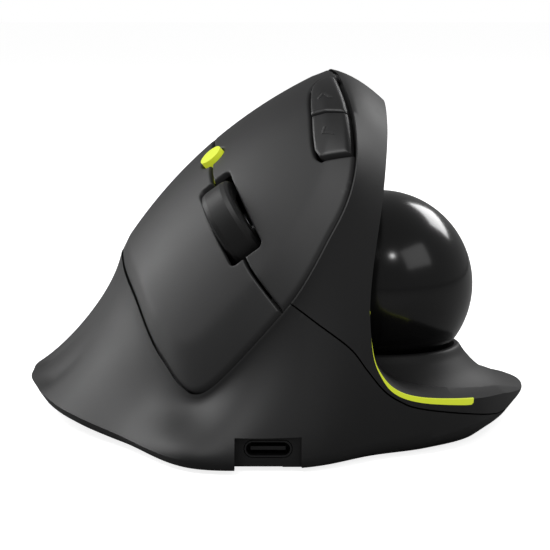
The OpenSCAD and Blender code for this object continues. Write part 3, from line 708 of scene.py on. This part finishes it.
def mouldedMaterial(name, look):
    mat = bpy.data.materials.new(name)
    mat.use_nodes = True
    tree = mat.node_tree
    link = tree.links.new
    shader = tree.nodes["Principled BSDF"]
    grain = tree.nodes.new("ShaderNodeGroup")
    grain.node_tree = mouldedGrain
    grain.inputs["Grain Size"].default_value = look.get("grainSize", 5000)
    # painted highlight: the sharp edges are lightened by the edge mask, in place of light caught by rounded
    # edges
    paintedHighlight = tree.nodes.new("ShaderNodeGroup")
    paintedHighlight.node_tree = paintedEdgeHighlight
    paintedHighlight.inputs["Amount"].default_value = look.get("paintedHighlight", 0.4)
    tone = tree.nodes.new("ShaderNodeMix")
    tone.data_type = "RGBA"
    tone.inputs[6].default_value = (*look["dark"], 1)
    tone.inputs[7].default_value = (*look["light"], 1)
    # painted highlight: this mix puts the lighter tone of the finish onto the sharp edges
    highlightTone = tree.nodes.new("ShaderNodeMix")
    highlightTone.data_type = "RGBA"
    highlightTone.inputs[7].default_value = (*look.get("highlightTone", look["light"]), 1)
    rough = tree.nodes.new("ShaderNodeMapRange")
    rough.inputs["To Min"].default_value, rough.inputs["To Max"].default_value = look["rough"]
    bump = tree.nodes.new("ShaderNodeBump")
    bump.inputs["Distance"].default_value = grainDepth
    bump.inputs["Strength"].default_value = look["bump"]
    link(grain.outputs["Cloud"], tone.inputs[0])
    link(tone.outputs[2], highlightTone.inputs[6])
    link(paintedHighlight.outputs["Mask"], highlightTone.inputs[0])
    link(highlightTone.outputs[2], shader.inputs["Base Color"])
    link(grain.outputs["Cloud"], rough.inputs["Value"])
    link(rough.outputs["Result"], shader.inputs["Roughness"])
    link(grain.outputs["Height"], bump.inputs["Height"])
    link(bump.outputs["Normal"], shader.inputs["Normal"])
    shader.inputs["Metallic"].default_value = look.get("metal", 0)
    shader.inputs["Specular IOR Level"].default_value = look.get("specular", 0.5)
    shader.inputs["Coat Weight"].default_value = look.get("coat", 0)
    shader.inputs["Coat Roughness"].default_value = look.get("coatRough", 0.1)
    # painted glow: the part emits its own light colour, so it reads brighter than the lamps alone make it
    if "paintedGlow" in look:
        shader.inputs["Emission Color"].default_value = (*look["light"], 1)
        shader.inputs["Emission Strength"].default_value = look["paintedGlow"]
    return mat


# the lighter edge colour in each finish is a painted highlight on its sharp edges; the ball gets none
finishes = {
    "shell": {"dark": (0.0145, 0.0145, 0.0150), "light": (0.0205, 0.0205, 0.0210),
              "highlightTone": (0.06, 0.06, 0.06), "rough": (0.44, 0.58), "bump": 0.32, "grainSize": 4200,
              "specular": 0.42},
    "keys": {"dark": (0.0150, 0.0150, 0.0155), "light": (0.0215, 0.0215, 0.0220),
             "highlightTone": (0.07, 0.07, 0.07), "rough": (0.42, 0.55), "bump": 0.30, "grainSize": 4200,
             "specular": 0.42},
    "side_keys": {"dark": (0.010, 0.010, 0.0105), "light": (0.014, 0.014, 0.0145),
                  "highlightTone": (0.05, 0.05, 0.05), "rough": (0.34, 0.46), "bump": 0.2, "grainSize": 5200,
                  "specular": 0.5},
    "frame_plastic": {"dark": (0.010, 0.010, 0.010), "light": (0.016, 0.016, 0.016), "rough": (0.5, 0.65),
                      "bump": 0.3},
    "base_plastic": {"dark": (0.012, 0.012, 0.012), "light": (0.019, 0.019, 0.019), "rough": (0.5, 0.68),
                     "bump": 0.5, "grainSize": 2600},
    "feet": {"dark": (0.008, 0.008, 0.008), "light": (0.013, 0.013, 0.013), "rough": (0.3, 0.42),
             "bump": 0.12, "grainSize": 3000},
    "steel": {"dark": (0.42, 0.43, 0.44), "light": (0.55, 0.56, 0.57), "rough": (0.24, 0.38), "metal": 1,
              "bump": 0.15, "grainSize": 2500},
    # painted glow on the lime parts, and a lighter painted highlight tone for their sharp edges
    "lime": {"dark": (0.72, 0.84, 0.030), "light": (0.80, 0.91, 0.045), "highlightTone": (0.86, 0.95, 0.2),
             "rough": (0.32, 0.45), "bump": 0.15, "grainSize": 4500, "paintedGlow": 0.38},
    "tyre_rubber": {"dark": (0.008, 0.008, 0.008), "light": (0.013, 0.013, 0.013),
                    "highlightTone": (0.04, 0.04, 0.04), "rough": (0.42, 0.58), "bump": 0.35, "grainSize": 3500},
    "hub_plastic": {"dark": (0.012, 0.012, 0.012), "light": (0.02, 0.02, 0.02), "rough": (0.28, 0.4),
                    "bump": 0.15},
    "ball_gloss": {"dark": (0.0040, 0.0040, 0.0042), "light": (0.0062, 0.0062, 0.0065),
                   "rough": (0.16, 0.22), "bump": 0.03, "grainSize": 3000, "coat": 0.5, "coatRough": 0.12,
                   "paintedHighlight": 0.0},
    "cup_plastic": {"dark": (0.006, 0.006, 0.006), "light": (0.010, 0.010, 0.010), "rough": (0.25, 0.36),
                    "bump": 0.15},
    "ceramic": {"dark": (0.75, 0.74, 0.70), "light": (0.84, 0.83, 0.79), "rough": (0.12, 0.2), "bump": 0.03,
                "coat": 0.4},
    "board": {"dark": (0.012, 0.07, 0.03), "light": (0.02, 0.10, 0.045), "rough": (0.3, 0.45), "bump": 0.25,
              "grainSize": 1500, "coat": 0.3},
    "lens": {"dark": (0.45, 0.5, 0.55), "light": (0.55, 0.6, 0.66), "rough": (0.05, 0.1), "bump": 0.02,
             "coat": 0.6},
    "port_steel": {"dark": (0.020, 0.020, 0.021), "light": (0.035, 0.035, 0.036), "rough": (0.3, 0.42),
                   "metal": 0.3, "bump": 0.1},
    "battery_foil": {"dark": (0.5, 0.51, 0.53), "light": (0.62, 0.63, 0.65), "rough": (0.3, 0.42),
                     "metal": 0.8, "bump": 0.3, "grainSize": 700},
    "switch_plastic": {"dark": (0.016, 0.016, 0.018), "light": (0.026, 0.026, 0.03), "rough": (0.35, 0.5),
                       "bump": 0.25},
    "receiver_plastic": {"dark": (0.01, 0.01, 0.01), "light": (0.016, 0.016, 0.016), "rough": (0.35, 0.48),
                         "bump": 0.25}}
materials = {name: mouldedMaterial(name + "Finish", look) for name, look in finishes.items()}


def place(obj, body, replaced, slotName):
    obj.data.materials.clear()
    obj.data.materials.append(materials[slotName])
    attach(obj, body)
    if replaced:
        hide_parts(replaced)


place(lowerShell, "housing", "lower_shell", "shell")
place(thumbShell, "housing", "thumb_shell", "shell")
place(palmCover, "housing", "palm_cover", "shell")
place(accentStrip, "housing", "accent_strip", "lime")
place(indexButton, "index_button_body", "index_button", "keys")
place(middleButton, "middle_button_body", "middle_button", "keys")
place(forwardButton, "forward_button_body", "forward_button", "side_keys")
place(backButton, "back_button_body", "back_button", "side_keys")
place(forwardMark, "forward_button_body", None, "keys")
place(backMark, "back_button_body", None, "keys")

plainSlots = {
    "inner_frame": "frame_plastic", "base_plate": "base_plastic", "glide_feet": "feet", "case_screws": "steel",
    "dpi_button": "lime", "wheel_tyre": "tyre_rubber", "wheel_hub": "hub_plastic", "wheel_axle": "steel",
    "wheel_carrier": "frame_plastic", "trackball": "ball_gloss", "ball_cup": "cup_plastic",
    "support_balls": "ceramic", "sensor_board": "board", "sensor_lens": "lens", "main_board": "board",
    "usb_c_port": "port_steel", "battery": "battery_foil", "button_board": "board",
    "click_switches": "switch_plastic", "side_board": "board", "side_switches": "steel", "power_switch": "lime",
    "pairing_button": "switch_plastic", "receiver": "receiver_plastic"}
for nodeName, slotName in plainSlots.items():
    obj = nodes[nodeName]
    if obj.material_slots:
        for s in obj.material_slots:
            s.material = materials[slotName]
    else:
        obj.data.materials.append(materials[slotName])
print("materials placed")

studio = {"floor": (0.90, 0.90, 0.90), "bounce": (0.26, 0.26, 0.26), "floorGlow": 0.84, "floorHalf": 6,
          "floorZ": -0.00005, "white": (1, 1, 1, 1), "world": 0.16, "key": 4.2, "fill": 0.9, "rim": 5.5,
          "back": 4.0, "spot": 0.5}
floorMesh = bpy.data.meshes.new("studioFloor")
work = bmesh.new()
bmesh.ops.create_grid(work, x_segments=4, y_segments=4, size=studio["floorHalf"])
work.to_mesh(floorMesh)
work.free()
floor = bpy.data.objects.new("studioFloor", floorMesh)
scene.collection.objects.link(floor)
floor.location.z = studio["floorZ"]
floorMat = bpy.data.materials.new("paleFloor")
floorMat.use_nodes = True
floorTree = floorMat.node_tree
floorShader = floorTree.nodes["Principled BSDF"]
floorShader.inputs["Base Color"].default_value = (*studio["floor"], 1)
floorShader.inputs["Roughness"].default_value = 0.9
floorShader.inputs["Emission Color"].default_value = studio["white"]
floorShader.inputs["Emission Strength"].default_value = studio["floorGlow"]
bounce = floorTree.nodes.new("ShaderNodeBsdfDiffuse")  # what the object gets back from the floor
bounce.inputs["Color"].default_value = (*studio["bounce"], 1)
seen, either = floorTree.nodes.new("ShaderNodeLightPath"), floorTree.nodes.new("ShaderNodeMixShader")
floorTree.links.new(seen.outputs["Is Camera Ray"], either.inputs[0])
floorTree.links.new(bounce.outputs[0], either.inputs[1])
floorTree.links.new(floorShader.outputs[0], either.inputs[2])
floorTree.links.new(either.outputs[0], floorTree.nodes["Material Output"].inputs["Surface"])
floorMesh.materials.append(floorMat)

world = bpy.data.worlds.new("studioWorld")
scene.world = world
world.use_nodes = True
backdrop = world.node_tree.nodes["Background"]
backdrop.inputs["Color"].default_value = studio["white"]
backdrop.inputs["Strength"].default_value = studio["world"]
behind = world.node_tree.nodes.new("ShaderNodeBackground")
pick = world.node_tree.nodes.new("ShaderNodeMixShader")
looking = world.node_tree.nodes.new("ShaderNodeLightPath")
world.node_tree.links.new(looking.outputs["Is Camera Ray"], pick.inputs[0])
world.node_tree.links.new(backdrop.outputs[0], pick.inputs[1])
world.node_tree.links.new(behind.outputs[0], pick.inputs[2])
world.node_tree.links.new(pick.outputs[0], world.node_tree.nodes["World Output"].inputs["Surface"])
behind.inputs["Color"].default_value = studio["white"]
behind.inputs["Strength"].default_value = 1.0


def softbox(name, place, aim, size, watts):
    data = bpy.data.lights.new(name, "AREA")
    data.shape, data.size, data.size_y, data.energy = "RECTANGLE", size[0], size[1], watts
    lamp = bpy.data.objects.new(name, data)
    scene.collection.objects.link(lamp)
    lamp.location = place
    lamp.rotation_euler = (Vector(place) - Vector(aim)).to_track_quat("Z", "Y").to_euler()
    return lamp


centre = (0, 0, 0.035)
softbox("keyBox", (-0.35, -0.25, 1.0), centre, (0.6, 0.5), studio["key"])
softbox("fillBox", (0.8, -0.6, 0.7), centre, (0.7, 0.5), studio["fill"])
softbox("rimBox", (-0.9, 0.6, 0.5), centre, (0.3, 0.9), studio["rim"])
softbox("spotBox", (0.28, -0.85, 0.78), (0.022, 0, 0.03), (0.09, 0.09), studio["spot"])
softbox("backBox", (0.7, 0.8, 0.7), centre, (0.6, 0.4), studio["back"])
scene.view_settings.view_transform = "Standard"
print("stage lit")
